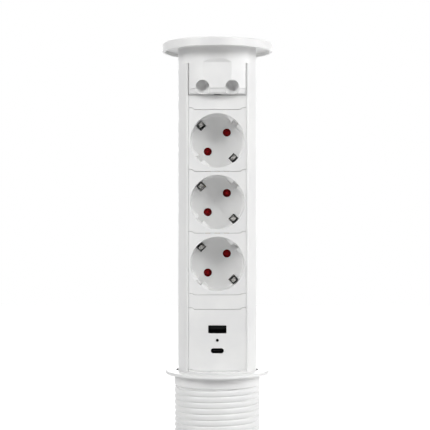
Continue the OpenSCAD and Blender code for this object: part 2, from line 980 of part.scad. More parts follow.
// Port with round ends
module round_slot(w, h, y0, y1) {
    bar([-(w - h) / 2, (w - h) / 2], [y0, y1], [-h / 2, h / 2]);
    both_sides()
        translate([(w - h) / 2, 0, 0])
            deep_rod(h / 2, y0, y1);
}

module square_slot(w, h, y0, y1) {
    bar([-w / 2, w / 2], [y0, y1], [-h / 2, h / 2]);
}

module at_charger(z) {
    translate([0, 0, charger_z + z])
        children();
}

module charger_face() {
    shell_room = 2 * (port_shell_t + snug);
    color(WHITE)
    difference() {
        at_charger(0)
            insert_plate(insert_h, true, [hook_inset, insert_h - hook_inset - hook_h]);
        at_charger(port_a_z) {
            square_slot(port_a_w, port_a_h, face_y - past, plate_back_y + past);
            square_slot(port_a_w + shell_room, port_a_h + shell_room, face_y + port_lip, plate_back_y + past);
        }
        at_charger(port_c_z) {
            round_slot(port_c_w, port_c_h, face_y - past, plate_back_y + past);
            round_slot(port_c_w + shell_room, port_c_h + shell_room, face_y + port_lip, plate_back_y + past);
        }
        at_charger(indicator_z)
            deep_rod(indicator_d / 2 + snug / 2, face_y - past, plate_back_y + past);
    }
}

// Box behind the charger's face that closes in the circuit board
module charger_box() {
    box_back_y = plate_back_y + box_depth;
    color("#3a3b3e")
    at_charger(0)
        difference() {
            bar([-box_half, box_half], [plate_back_y, box_back_y], [box_z0, box_z1]);
            bar([-box_half + box_wall, box_half - box_wall], [plate_back_y - past, box_back_y - box_wall],
                [box_z0 + box_wall, box_z1 - box_wall]);
        }
}

module charger_board() {
    color("#1f5a3a")
    at_charger(0)
        bar([-board_half, board_half], [board_y, board_back_y],
            [box_z0 + box_wall + hook_clear, box_z1 - box_wall - hook_clear]);
}

module charger_transformer() {
    core_half = 8;
    core_z0 = 7;
    core_z1 = 21;
    core_depth = 10;
    winding = 2;
    color("#c9a93e")
    at_charger(0) {
        bar([-core_half, core_half], [board_back_y, board_back_y + core_depth],
            [core_z0 + winding, core_z1 - winding]);
        bar([-core_half + winding, core_half - winding], [board_back_y, board_back_y + core_depth - winding],
            [core_z0, core_z1]);
    }
}

module charger_capacitors() {
    can_r = 4;
    can_len = 9;
    can_x = 6.5;
    can_z = 28.5;
    color("#23242a")
    at_charger(can_z)
        both_sides()
            translate([can_x, 0, 0])
                deep_rod(can_r, board_back_y, board_back_y + can_len);
}

module port_a_shell() {
    color(STEEL)
    at_charger(port_a_z)
        difference() {
            square_slot(port_a_w + 2 * port_shell_t, port_a_h + 2 * port_shell_t, face_y + port_lip, board_y);
            square_slot(port_a_w, port_a_h, face_y, board_y - port_shell_t);
        }
}

module port_a_tongue() {
    tongue_h = 1.9;
    tongue_in = 0.7;
    tongue_low = 0.2;
    tongue_sink = 1.4;
    block_t = 3.4;
    block_y = board_y - port_shell_t;
    color(BLACK)
    at_charger(port_a_z) {
        square_slot(port_a_w - snug, port_a_h - snug, block_y - block_t, block_y);
        bar([-port_a_w / 2 + tongue_in, port_a_w / 2 - tongue_in],
            [face_y + port_lip + tongue_sink, block_y - past], [tongue_low, tongue_low + tongue_h]);
    }
}

module port_c_shell() {
    color(STEEL)
    at_charger(port_c_z)
        difference() {
            round_slot(port_c_w + 2 * port_shell_t, port_c_h + 2 * port_shell_t, face_y + port_lip, board_y);
            round_slot(port_c_w, port_c_h, face_y, board_y - port_shell_t);
        }
}

module port_c_tongue() {
    tongue_h = 0.7;
    tongue_half = 3.3;
    tongue_sink = 0.8;
    block_t = 7;
    block_y = board_y - port_shell_t;
    color(BLACK)
    at_charger(port_c_z) {
        round_slot(port_c_w - snug, port_c_h - snug, block_y - block_t, block_y);
        bar([-tongue_half, tongue_half], [face_y + port_lip + tongue_sink, block_y - past],
            [-tongue_h / 2, tongue_h / 2]);
    }
}

module indicator_lens() {
    color("#1b1c1e")
    at_charger(indicator_z) {
        deep_rod(indicator_d / 2, face_y - indicator_proud, plate_back_y + indicator_flange);
        deep_rod(indicator_d, plate_back_y, plate_back_y + indicator_flange);
        deep_rod(indicator_d / 2, plate_back_y, board_y);
    }
}

desk_sleeve();
wiper_ring();
sleeve_end_cap();
clamp_washer();
clamp_nut();
tower_shell();
tower_head();
lid();
lid_screws();
tower_base();
base_screws();
cable_grommet();
catch_left();
catch_right();
catch_springs();
upper_blank();
lower_blank();
socket_face_top();
socket_face_middle();
socket_face_bottom();
shutter_top();
shutter_middle();
shutter_bottom();
shutter_springs();
contact_housing_top();
contact_housing_middle();
contact_housing_bottom();
pin_contacts_top();
pin_contacts_middle();
pin_contacts_bottom();
earth_strip_top();
earth_strip_middle();
earth_strip_bottom();
line_busbar();
neutral_busbar();
earth_busbar();
supply_wires();
charger_face();
charger_box();
charger_board();
charger_transformer();
charger_capacitors();
port_a_shell();
port_a_tongue();
port_c_shell();
port_c_tongue();
indicator_lens();
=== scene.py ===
import math

import bmesh
import bpy
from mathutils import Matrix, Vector


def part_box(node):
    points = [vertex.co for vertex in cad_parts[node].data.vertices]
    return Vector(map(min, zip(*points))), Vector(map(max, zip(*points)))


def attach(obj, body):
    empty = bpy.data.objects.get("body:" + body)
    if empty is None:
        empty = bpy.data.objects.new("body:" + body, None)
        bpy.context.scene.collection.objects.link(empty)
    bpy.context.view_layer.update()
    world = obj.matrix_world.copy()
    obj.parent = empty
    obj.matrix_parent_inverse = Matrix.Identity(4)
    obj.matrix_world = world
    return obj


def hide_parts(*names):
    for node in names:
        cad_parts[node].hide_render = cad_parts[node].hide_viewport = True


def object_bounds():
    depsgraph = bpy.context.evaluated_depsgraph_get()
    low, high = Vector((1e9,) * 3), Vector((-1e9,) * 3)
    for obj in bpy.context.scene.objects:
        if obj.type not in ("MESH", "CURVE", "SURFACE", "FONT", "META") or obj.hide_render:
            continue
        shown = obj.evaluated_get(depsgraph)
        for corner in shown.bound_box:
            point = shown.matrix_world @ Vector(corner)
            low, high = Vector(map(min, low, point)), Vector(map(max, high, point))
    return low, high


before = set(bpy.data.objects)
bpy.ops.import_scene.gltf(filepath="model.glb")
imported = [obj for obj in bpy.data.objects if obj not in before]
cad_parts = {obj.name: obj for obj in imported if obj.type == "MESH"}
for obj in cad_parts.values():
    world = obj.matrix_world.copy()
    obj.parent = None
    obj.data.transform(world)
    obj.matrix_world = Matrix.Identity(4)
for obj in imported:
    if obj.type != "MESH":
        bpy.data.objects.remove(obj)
cad_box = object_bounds()
scene = bpy.context.scene
scene.view_settings.view_transform = "Standard"

# Camera
# It stands level, 0.85 m before the tower's axis and near its middle height, with a long lens that
# frames the lid, the tower, the flange and the first turns of the thread.
mm = 0.001
camera_place = (-1.6, -850, 110.7)
camera_lens = 101.3
camera_sensor = 36

camera = bpy.data.objects.new("camera", bpy.data.cameras.new("camera"))
camera.data.sensor_width = camera_sensor
camera.data.lens = camera_lens
camera.location = Vector(camera_place) * mm
camera.rotation_euler = (math.pi / 2, 0, 0)
scene.collection.objects.link(camera)
scene.camera = camera

# Threaded sleeve
# A long ABS tube moulded in one with its round flange, a plain shank and a coarse round thread.
# It hangs by the flange. Two slots in the flange's bore lead down to the guide channels.


def box_mm(node):
    """A node's lowest and highest corners, in millimetres."""
    lo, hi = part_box(node)
    return lo / mm, hi / mm


sleeve_lo, sleeve_hi = box_mm("desk_sleeve")
tower_r = box_mm("tower_shell")[1].x
slide_gap = 0.25
sleeve_wall = 1.5
bore_r = tower_r + slide_gap
root_r = bore_r + sleeve_wall
thread_h = 0.7
crest_r = root_r + thread_h
pitch = 4
pitch_rows = 12
turns = 14
band_power = 3
run_in = (0.1, 1)
shank_low = -8
shank_edge = 0.4
shank_round = 0.2
thread_low = shank_low - pitch * (turns + 1)
flange_r = sleeve_hi.x
flange_top = sleeve_hi.z
flange_round = 1.3
bore_round = 0.4
end_round = 0.3
felt_top = -3.6
felt_low = felt_top - 2.4
felt_r = bore_r + 0.8
channel_r = bore_r + 0.7
channel_half = 3.8
channel_top = -9.6
slot_r = bore_r + 0.95
slot_half = 2.2
tool_in = 0.8 * tower_r
past = 1  # how far a cutter runs past the solid that it cuts
weld = 1e-6  # points closer than this, in metres, are one point


def smooth_step(low, high, value):
    t = min(max((value - low) / (high - low), 0), 1)
    return t * t * (3 - 2 * t)


def thread_part(low, high, clear, end_r):
    """The rows of the thread between two heights, as a function of the angle: wide round bands with thin
    grooves between. Rows past either height close up at its edge, at end_r."""
    first = math.floor((low - thread_low) / pitch * pitch_rows)
    last = math.ceil((high - thread_low) / pitch * pitch_rows) + pitch_rows + 1

    def rows_at(angle):
        rows = []
        for row in range(first, last + 1):
            rise = row / pitch_rows - 1 + angle / (2 * math.pi)
            z = thread_low + pitch * rise
            band = 1 - abs(2 * (row % pitch_rows) / pitch_rows - 1) ** band_power
            rows.append((root_r + clear + thread_h * band * smooth_step(*run_in, rise), z))
        return [(r, z) if low < z < high else (end_r, min(max(z, low), high)) for r, z in rows]

    return rows_at, last - first


def turned(vector, angle):
    c, s = math.cos(angle), math.sin(angle)
    return Vector((vector.x * c - vector.y * s, vector.x * s + vector.y * c))


def rounded(corners, steps=5):
    """An outline from corners (x, y, radius), with an arc in place of each corner that has a radius."""
    outline = []
    for i, (x, y, radius) in enumerate(corners):
        here = Vector((x, y))
        before = (Vector(corners[i - 1][:2]) - here).normalized()
        after = (Vector(corners[(i + 1) % len(corners)][:2]) - here).normalized()
        if not radius:
            outline.append(here)
            continue
        half = before.angle(after) / 2
        middle = here + (before + after).normalized() * radius / math.sin(half)
        start = here + before * radius / math.tan(half) - middle
        turn = start.angle_signed(here + after * radius / math.tan(half) - middle)
        for k in range(steps + 1):
            outline.append(middle + turned(start, -turn * k / steps))
    return outline


def mesh_of(name, points, faces):
    """A closed mesh from points in millimetres, with doubled points joined and its faces turned out."""
    bm = bmesh.new()
    corners = [bm.verts.new(Vector(p) * mm) for p in points]
    for face in faces:
        bm.faces.new([corners[i] for i in face])
    bmesh.ops.remove_doubles(bm, verts=bm.verts, dist=weld)
    bmesh.ops.recalc_face_normals(bm, faces=bm.faces)
    mesh = bpy.data.meshes.new(name)
    bm.to_mesh(mesh)
    bm.free()
    return mesh


def lathe(name, loop_at, thread_rows=0, columns=120):
    """Turns a closed loop of (radius, z) round Z. A loop may start with a thread's rows, bottom to top:
    when the turn closes, each of them meets the row that lies one pitch higher."""
    loops = [loop_at(2 * math.pi * c / columns) for c in range(columns)]
    rows = len(loops[0])
    points = []
    for c, loop in enumerate(loops):
        angle = 2 * math.pi * c / columns
        points += [(r * math.cos(angle), r * math.sin(angle), z) for r, z in loop]
    faces = []
    for c in range(columns):
        following = (c + 1) % columns
        for i in range(rows):
            j = (i + 1) % rows
            rise = pitch_rows if following == 0 and i < thread_rows else 0
            if rise and i + 1 + rise > thread_rows:
                continue
            faces.append((c * rows + i, following * rows + i + rise,
                          following * rows + j + rise, c * rows + j))
    return mesh_of(name, points, faces)


def block(x, y, z):
    """A box between two places along each of X, Y and Z."""
    points = [(i, j, k) for i in sorted(x) for j in y for k in z]
    faces = [(0, 1, 3, 2), (4, 6, 7, 5), (0, 4, 5, 1), (2, 3, 7, 6), (0, 2, 6, 4), (1, 5, 7, 3)]
    return mesh_of("block", points, faces)


def cut(mesh, *tools, operation="DIFFERENCE"):
    """Takes tools away from a mesh, or joins them to it, one after the other."""
    for tool in tools:
        work = bpy.data.objects.new("work", mesh)
        knife = bpy.data.objects.new("knife", tool)
        for part in (work, knife):
            scene.collection.objects.link(part)
        boolean = work.modifiers.new("cut", "BOOLEAN")
        boolean.object = knife
        boolean.operation = operation
        boolean.solver = "EXACT"
        evaluated = work.evaluated_get(bpy.context.evaluated_depsgraph_get())
        result = bpy.data.meshes.new_from_object(evaluated)
        result.name = mesh.name
        for part in (work, knife):
            bpy.data.objects.remove(part)
        mesh = result
    return mesh


sleeve_thread, sleeve_rows = thread_part(thread_low, shank_low, 0, root_r)
flange_loop = rounded([
    (crest_r, shank_low + shank_edge, shank_round), (crest_r, 0, 0),
    (flange_r, 0, end_round), (flange_r, flange_top, flange_round), (bore_r, flange_top, bore_round),
    (bore_r, felt_top, 0), (felt_r, felt_top, 0), (felt_r, felt_low, 0), (bore_r, felt_low, 0),
    (bore_r, sleeve_lo.z, end_round), (root_r, sleeve_lo.z, end_round)])
sleeve_mesh = lathe("threaded_sleeve", lambda angle: sleeve_thread(angle) + [tuple(p) for p in flange_loop],
                    sleeve_rows, columns=144)
for side in (-1, 1):
    slot = block((side * tool_in, side * slot_r), (-slot_half, slot_half),
                 (channel_top - past, flange_top + past))
    channel = block((side * tool_in, side * channel_r), (-channel_half, channel_half),
                    (sleeve_lo.z - past, channel_top))
    sleeve_mesh = cut(sleeve_mesh, slot, channel)


def linear(code):
    channels = [int(code[i:i + 2], 16) / 255 for i in (1, 3, 5)]
    return [c / 12.92 if c <= 0.04045 else ((c + 0.055) / 1.055) ** 2.4 for c in channels] + [1]


def start_material(name, sockets):
    """A node material whose shader has the given values."""
    material = bpy.data.materials.new(name)
    material.use_nodes = True
    shader = material.node_tree.nodes["Principled BSDF"]
    for socket, value in sockets.items():
        shader.inputs[socket].default_value = value
    return material, material.node_tree, shader


def add(tree, kind, inputs, **settings):
    """Adds a node with its settings, and with a value or a link for each input."""
    node = tree.nodes.new(kind)
    for name, value in settings.items():
        setattr(node, name, value)
    for socket, value in inputs.items():
        if isinstance(value, bpy.types.NodeSocket):
            tree.links.new(value, node.inputs[socket])
        else:
            node.inputs[socket].default_value = value
    return node


def mottled(name, sockets, tones, tone_mm, grain_mm, grain_depth_mm, gloss):
    """A material with clouds of two close tones and of gloss, and a fine grain that stands up a little."""
    tone_span = (0.35, 0.65)
    gloss_span = (0.3, 0.7)
    grain_strength = 0.5
    material, tree, shader = start_material(name, sockets)
    place = add(tree, "ShaderNodeTexCoord", {}).outputs["Object"]
    clouds = add(tree, "ShaderNodeTexNoise", {"Vector": place, "Scale": 1 / (tone_mm * mm), "Detail": 3})
    ramp = add(tree, "ShaderNodeValToRGB", {"Fac": clouds.outputs["Fac"]})
    for stop, position, tone in zip(ramp.color_ramp.elements, tone_span, tones):
        stop.position = position
        stop.color = linear(tone)
    tree.links.new(ramp.outputs["Color"], shader.inputs["Base Color"])
    gloss_range = add(tree, "ShaderNodeMapRange", {
        "Value": clouds.outputs["Fac"], "From Min": gloss_span[0], "From Max": gloss_span[1],
        "To Min": gloss[0], "To Max": gloss[1]})
    tree.links.new(gloss_range.outputs["Result"], shader.inputs["Roughness"])
    grain = add(tree, "ShaderNodeTexNoise", {"Vector": place, "Scale": 1 / (grain_mm * mm), "Detail": 2})
    bump = add(tree, "ShaderNodeBump", {
        "Height": grain.outputs["Fac"], "Strength": grain_strength, "Distance": grain_depth_mm * mm})
    tree.links.new(bump.outputs["Normal"], shader.inputs["Normal"])
    return material


def piece(name, mesh, material, body, slot, *nodes, place=(0, 0, 0), sharp=32):
    """Shows a mesh as a piece: smooth but for its sharp edges, riding on its body, in place of its nodes."""
    shown = bpy.data.objects.new(name, mesh)
    scene.collection.objects.link(shown)
    shown.location = Vector(place) * mm
    mesh.materials.clear()
    mesh.materials.append(material)
    mesh.shade_smooth()
    mesh.set_sharp_from_angle(angle=math.radians(sharp))
    weighted = shown.modifiers.new("even_normals", "WEIGHTED_NORMAL")
    weighted.keep_sharp = True
    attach(shown, body)
    if nodes:
        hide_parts(*nodes)
    return shown


# White ABS as moulded: a satin skin that spreads each light into a wide soft sheen, with faint flow
# clouds and a fine spark-eroded grain. The grain, near 0.1 mm, is drawn at 0.5 mm so that it shows.
white_abs = mottled("white_abs_moulded_satin", {"IOR": 1.53},
                    ("#e8e8e8", "#eeeeed"), 22, 0.5, 0.006, (0.36, 0.44))
piece("threaded_sleeve", sleeve_mesh, white_abs, "sleeve", "white_plastic", "desk_sleeve")

# Notch plugs
# Two small rubber blocks keep dust out of the flange's slots. They are pulled out to release the tower.
plug_in = tower_r + 0.12
plug_out = slot_r - 0.02
plug_half = slot_half - 0.05
plug_low = flange_top - 4
plug_top = flange_top + 0.5
plug_round = 0.2


def bevelled(mesh, width, steps=3):
    """Rounds every edge of a mesh."""
    bm = bmesh.new()
    bm.from_mesh(mesh)
    bmesh.ops.bevel(bm, geom=bm.edges, offset=width * mm, segments=steps, profile=0.5, affect="EDGES")
    bm.to_mesh(mesh)
    bm.free()
    return mesh


# EPDM rubber, moulded: nearly black and dull
black_rubber = mottled("black_epdm_moulded", {"IOR": 1.5},
                       ("#161617", "#1f1f20"), 5, 0.4, 0.02, (0.62, 0.75))
for side, name in ((-1, "notch_plug_left"), (1, "notch_plug_right")):
    plug = block((side * plug_in, side * plug_out), (-plug_half, plug_half), (plug_low, plug_top))
    piece(name, bevelled(plug, plug_round), black_rubber, "sleeve", "rubber")

# Wiper ring
# Two strips of pressed wool felt in a groove of the sleeve's bore. They wipe the tower and grip it
# enough to hold it at any height.


def dress(material, *nodes):
    """Gives CAD nodes a finish."""
    for node in nodes:
        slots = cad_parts[node].data.materials
        slots.clear()
        slots.append(material)


# Wool felt, pressed: matt grey, with fibres that catch the light one by one
grey_felt = mottled("grey_wool_felt_pressed", {"IOR": 1.5, "Sheen Weight": 0.4},
                    ("#77797c", "#9a9c9f"), 0.6, 0.25, 0.08, (0.9, 1))
dress(grey_felt, "wiper_ring")

# End cap
# A ring of moulded polypropylene pushed into the sleeve's lower end, where the cable passes through.
# It keeps the tower from falling out below.
cap_lo, cap_hi = box_mm("sleeve_end_cap")
cap_in_r = bore_r - 8.6
cap_fit_r = bore_r - 0.1
cap_lip_top = cap_lo.z + 2
cap_round = 0.5
lip_out_round = 0.7
lip_top_round = 0.2

# Polypropylene as moulded: light grey and waxy, with a soft uneven gloss
grey_pp = mottled("grey_polypropylene_moulded", {"IOR": 1.49},
                  ("#c6c7c9", "#cfd0d2"), 15, 0.6, 0.008, (0.42, 0.52))
cap_loop = rounded([
    (cap_in_r, cap_lo.z, cap_round), (root_r, cap_lo.z, lip_out_round), (root_r, cap_lip_top, lip_top_round),
    (cap_fit_r, cap_lip_top, 0), (cap_fit_r, cap_hi.z, cap_round), (cap_in_r, cap_hi.z, cap_round)])
piece("end_cap", lathe("end_cap", lambda angle: cap_loop), grey_pp, "sleeve", "grey_plastic",
      "sleeve_end_cap")

# Clamp washer
# A flat ring punched from zinc-plated steel sheet. It lies on the nut and presses up from below, with
# the edges that the punch drew round on top.
washer_lo, washer_hi = box_mm("clamp_washer")
washer_in_r = crest_r + 0.3
burr_round = 0.1
drawn_round = 0.45

# Zinc plate, bright: metal with a fine frosted spangle and a slightly blue tone
zinc_steel = mottled("zinc_plated_steel", {"Metallic": 1},
                     ("#a9adb3", "#c3c6ca"), 1.2, 0.4, 0.004, (0.28, 0.42))
washer_loop = rounded([
    (washer_in_r, washer_lo.z, burr_round), (washer_hi.x, washer_lo.z, burr_round),
    (washer_hi.x, washer_hi.z, drawn_round), (washer_in_r, washer_hi.z, drawn_round)])
piece("clamp_washer_ring", lathe("clamp_washer_ring", lambda angle: washer_loop), zinc_steel, "washer",
      "steel", "clamp_washer")

# Clamp nut
# A ring nut moulded in white ABS, with ten finger grips round it and the sleeve's own round thread
# inside. Turned by hand, it carries the washer up the sleeve.
nut_lo, nut_hi = box_mm("clamp_nut")
nut_r = nut_hi.x
nut_clear = 0.3
nut_in_r = crest_r + nut_clear
ring_r = nut_in_r + 3
nut_mouth = 0.4
nut_round = 0.6
round_mid = 0.2
grip_count = 10
grip_turn = 2 * math.pi / grip_count
grip_half = 0.16
grip_blend = 0.045
grip_top = nut_hi.z - 2
grip_foot = 0.3
grip_round = 0.7
nut_thread, nut_rows = thread_part(nut_lo.z + nut_mouth, nut_hi.z - nut_mouth, nut_clear, nut_in_r)


def nut_loop(angle):
    """The nut's section: its outside swells to a finger grip ten times a turn."""
    off_grip = abs((angle / grip_turn) % 1 - 0.5) * grip_turn
    swell = 1 - smooth_step(grip_half - grip_blend, grip_half + grip_blend, off_grip)
    out_r = ring_r + (nut_r - ring_r) * swell
    return nut_thread(angle) + [
        (nut_in_r + nut_mouth, nut_hi.z), (ring_r - nut_round, nut_hi.z),
        (ring_r - round_mid, nut_hi.z - round_mid), (ring_r, nut_hi.z - nut_round),
        (ring_r, grip_top + grip_foot * swell), (ring_r + grip_foot * swell, grip_top),
        (out_r - grip_round * swell, grip_top), (out_r - round_mid * swell, grip_top - round_mid),
        (out_r, grip_top - grip_round), (out_r, nut_lo.z + nut_round),
        (out_r - round_mid, nut_lo.z + round_mid), (out_r - nut_round, nut_lo.z),
        (nut_in_r + nut_mouth, nut_lo.z)]


piece("clamp_ring_nut", lathe("clamp_ring_nut", nut_loop, nut_rows, columns=360), white_abs, "nut",
      "white_plastic", "clamp_nut")

# Tower shell
# A tube extruded in rigid white PVC, cut flat and open at the front. Its two edges hold the inserts,
# ribs inside back them, and windows near the foot let the catches out.
shell_lo, shell_hi = box_mm("tower_shell")
shell_in_r = tower_r - 2
face_y = box_mm("socket_face_top")[0].y
open_half = 19.85
edge_half = open_half + 1.2
edge_round = 0.45
edge_angle = math.atan2(edge_half, -face_y) + edge_round / tower_r
inner_angle = math.asin(open_half / shell_in_r)
lip_round = 0.25
lip_mid = 0.08
arc_steps = 130
rib_out = shell_in_r - 2.4
rib_y = (-13.1, -11.5)
rib_z = (box_mm("charger_face")[0].z, box_mm("upper_blank")[1].z)
catch_lo, catch_hi = box_mm("catch_right")
catch_gap = 0.3


def arc(radius, start, end):
    """Points on a circle round Z, with angles measured from the front."""
    angles = [start + (end - start) * k / arc_steps for k in range(arc_steps + 1)]
    return [(radius * math.sin(a), -radius * math.cos(a)) for a in angles]


def stacked(name, rings):
    """A solid through rings of points, one after the other, with a flat face at each end."""
    count = len(rings[0])
    points = [point for ring in rings for point in ring]
    faces = [tuple(range(count)), tuple(range(len(points) - count, len(points)))]
    for row in range(len(rings) - 1):
        for k in range(count):
            a, b = row * count + k, row * count + (k + 1) % count
            faces.append((a, b, b + count, a + count))
    return mesh_of(name, points, faces)


half_edge = [
    (open_half, -math.sqrt(shell_in_r ** 2 - open_half ** 2)), (open_half, face_y + lip_round),
    (open_half + lip_mid, face_y + lip_mid), (open_half + lip_round, face_y),
    (edge_half - edge_round, face_y), (edge_half - edge_round / 3, face_y + edge_round / 6)]
outer = arc(tower_r, edge_angle, 2 * math.pi - edge_angle)
inner = arc(shell_in_r, 2 * math.pi - inner_angle, inner_angle)
shell_outline = half_edge + outer + [(-x, y) for x, y in half_edge[::-1]] + inner[1:-1]
shell_mesh = stacked("tower_tube", [[(x, y, z) for x, y in shell_outline] for z in (shell_lo.z, shell_hi.z)])
for side in (-1, 1):
    rib = block((side * open_half, side * rib_out), rib_y, rib_z)
    shell_mesh = cut(shell_mesh, rib, operation="UNION")
    window = block((side * (shell_in_r - past), side * (tower_r + past)),
                   (catch_lo.y - catch_gap, catch_hi.y + catch_gap),
                   (catch_lo.z - catch_gap, catch_hi.z + catch_gap))
    shell_mesh = cut(shell_mesh, window)

# Rigid PVC, extruded: the same white with a silkier sheen, and faint lines that the die draws along
# the length. They lie about 0.2 mm apart on the real tube and are drawn at 0.7 mm so that they show.
white_pvc = mottled("white_pvc_extruded", {"IOR": 1.53},
                    ("#e8e8e8", "#ededec"), 30, 0.5, 0.004, (0.34, 0.42))
line_mm = 0.7
line_run_mm = 90
line_depth_mm = 0.008
line_strength = 0.5
pvc_tree = white_pvc.node_tree
pvc_normal = pvc_tree.nodes["Principled BSDF"].inputs["Normal"]
pvc_place = add(pvc_tree, "ShaderNodeMapping", {
    "Vector": add(pvc_tree, "ShaderNodeTexCoord", {}).outputs["Object"],
    "Scale": (1 / (line_mm * mm), 1 / (line_mm * mm), 1 / (line_run_mm * mm))})
draw_lines = add(pvc_tree, "ShaderNodeTexNoise", {
    "Vector": pvc_place.outputs["Vector"], "Scale": 1, "Detail": 1})
draw_bump = add(pvc_tree, "ShaderNodeBump", {
    "Height": draw_lines.outputs["Fac"], "Strength": line_strength, "Distance": line_depth_mm * mm,
    "Normal": pvc_normal.links[0].from_socket})
pvc_tree.links.new(draw_bump.outputs["Normal"], pvc_normal)
piece("tower_tube", shell_mesh, white_pvc, "tower", "white_plastic", "tower_shell")

# Base plug, screws, grommet and catches
# The plug closes the tube's foot and carries the shelf that the inserts stand on. Two screws hold it,
# a rubber grommet takes the cable, and two sprung catches run in the sleeve's channels.

# Acetal, moulded: a light grey with a slippery gloss
grey_acetal = mottled("grey_acetal_moulded", {"IOR": 1.48},
                      ("#cbccce", "#d3d4d6"), 6, 0.4, 0.004, (0.25, 0.34))
# Spring steel with nickel plate: bright and slightly warm, with small dull patches
nickel_steel = mottled("nickel_plated_spring_steel", {"Metallic": 1},
                       ("#b4b3b0", "#cfcdc9"), 1.5, 0.2, 0.003, (0.22, 0.32))
dress(white_abs, "tower_base")
dress(zinc_steel, "base_screws", "lid_screws")
dress(black_rubber, "cable_grommet")
dress(grey_acetal, "catch_left", "catch_right")
dress(nickel_steel, "catch_springs", "shutter_springs")

# Inserts
# Blank faces and socket faces of moulded ABS snap in behind the tube's edges. Each but the top one has
# two ears at its upper corners that reach into cuts of the one above.
face_t = 3
insert_half = 19.74
blank_h = 10
seam = 0.2
ear_w = 2.6
ear_h = 1.2
front_round = 0.25
leg_in = insert_half - 2.2
leg_out = insert_half - 0.05
leg_y = face_y + face_t - 1
toe_in = insert_half - 1
toe_out = 20.5
toe_short = 0.05
hook_h = 4
hook_y = -14.6
hook_back_y = hook_y + 1.3


def insert_plate(name, height, ears):
    """A face plate with rounded front edges, whose lower edge is at zero."""
    low, high = seam / 2, height - seam / 2
    slope = insert_half - ear_w - ear_h
    right = [(slope, low), (insert_half - ear_w, low + ear_h), (insert_half, low + ear_h)]
    if ears:
        right += [(insert_half, high + ear_h), (insert_half - ear_w, high + ear_h), (slope, high)]
    else:
        right += [(insert_half, high)]
    outline = right + [(-x, z) for x, z in right[::-1]]
    bm = bmesh.new()
    front = bm.faces.new([bm.verts.new(Vector((x, face_y, z)) * mm) for x, z in outline])
    grown = bmesh.ops.extrude_face_region(bm, geom=[front])["geom"]
    back_points = [g for g in grown if isinstance(g, bmesh.types.BMVert)]
    bmesh.ops.translate(bm, verts=back_points, vec=(0, face_t * mm, 0))
    rim = [e for e in bm.edges if all(abs(v.co.y - face_y * mm) < weld for v in e.verts)]
    bmesh.ops.bevel(bm, geom=rim, offset=front_round * mm, segments=3, profile=0.5, affect="EDGES")
    bmesh.ops.recalc_face_normals(bm, faces=bm.faces)
    mesh = bpy.data.meshes.new(name)
    bm.to_mesh(mesh)
    bm.free()
    return mesh


def hooked(mesh, places):
    """Adds a pair of hooks behind a plate at each height."""
    for z in places:
        for side in (-1, 1):
            leg = block((side * leg_in, side * leg_out), (leg_y, hook_back_y), (z, z + hook_h))
            toe = block((side * toe_in, side * toe_out), (hook_y, hook_back_y),
                        (z + toe_short, z + hook_h - toe_short))
            mesh = cut(mesh, leg, toe, operation="UNION")
    return mesh


blanks = [("upper_blank_face", "upper_blank", False), ("lower_blank_face", "lower_blank", True)]
for name, node, ears in blanks:
    blank_mesh = hooked(insert_plate(name, blank_h, ears), [(blank_h - hook_h) / 2])
    blank_z = box_mm(node)[0].z - seam / 2
    piece(name, blank_mesh, white_abs, "tower", "white_plastic", node, place=(0, 0, blank_z))

# Socket faces
# Each is a plate with a round well for an earthed plug, moulded in one. Flat guide lands with sloped
# fronts and a groove stand on the pin line, and the earth contacts come through square windows across it.
insert_h = 42.5
hook_inset = 1.6
hook_places = [hook_inset, insert_h - hook_inset - hook_h]
well_r = 18.7
well_depth = 17.5
floor_y = face_y + well_depth
well_back_y = floor_y + 1.8
mouth_round = 0.4
floor_round = 1.3
cup_r = well_r + 0.7
cup_front_y = face_y + 1
land_r = 16.4
land_lead = 2.2
land_groove_half = 2.25
land_steps = 10
wall_steps = 24
mouth_steps = 4
lead_steps = 4
floor_steps = 5
pin_reach = 9.5
pin_hole_r = 2.85
pin_bevel = 0.3
pin_lead = 0.5
earth_r = 16.2
window_half = 2.65
lean = math.radians(45)
hair = 1e-6  # an angle too small to matter


def leaned(x, y, z):
    """Turns a point about Y so that the pin line, drawn along X, leans to the upper right."""
    return x * math.cos(lean) - z * math.sin(lean), y, x * math.sin(lean) + z * math.cos(lean)


def leaned_block(x, y, z):
    mesh = block(x, y, z)
    for vertex in mesh.vertices:
        vertex.co = leaned(*vertex.co)
    return mesh


def round_over(depth, radius):
    """How far a rounded edge draws back at a depth below it."""
    inside = min(max(radius - depth, 0), radius)
    return radius - math.sqrt(radius ** 2 - inside ** 2)


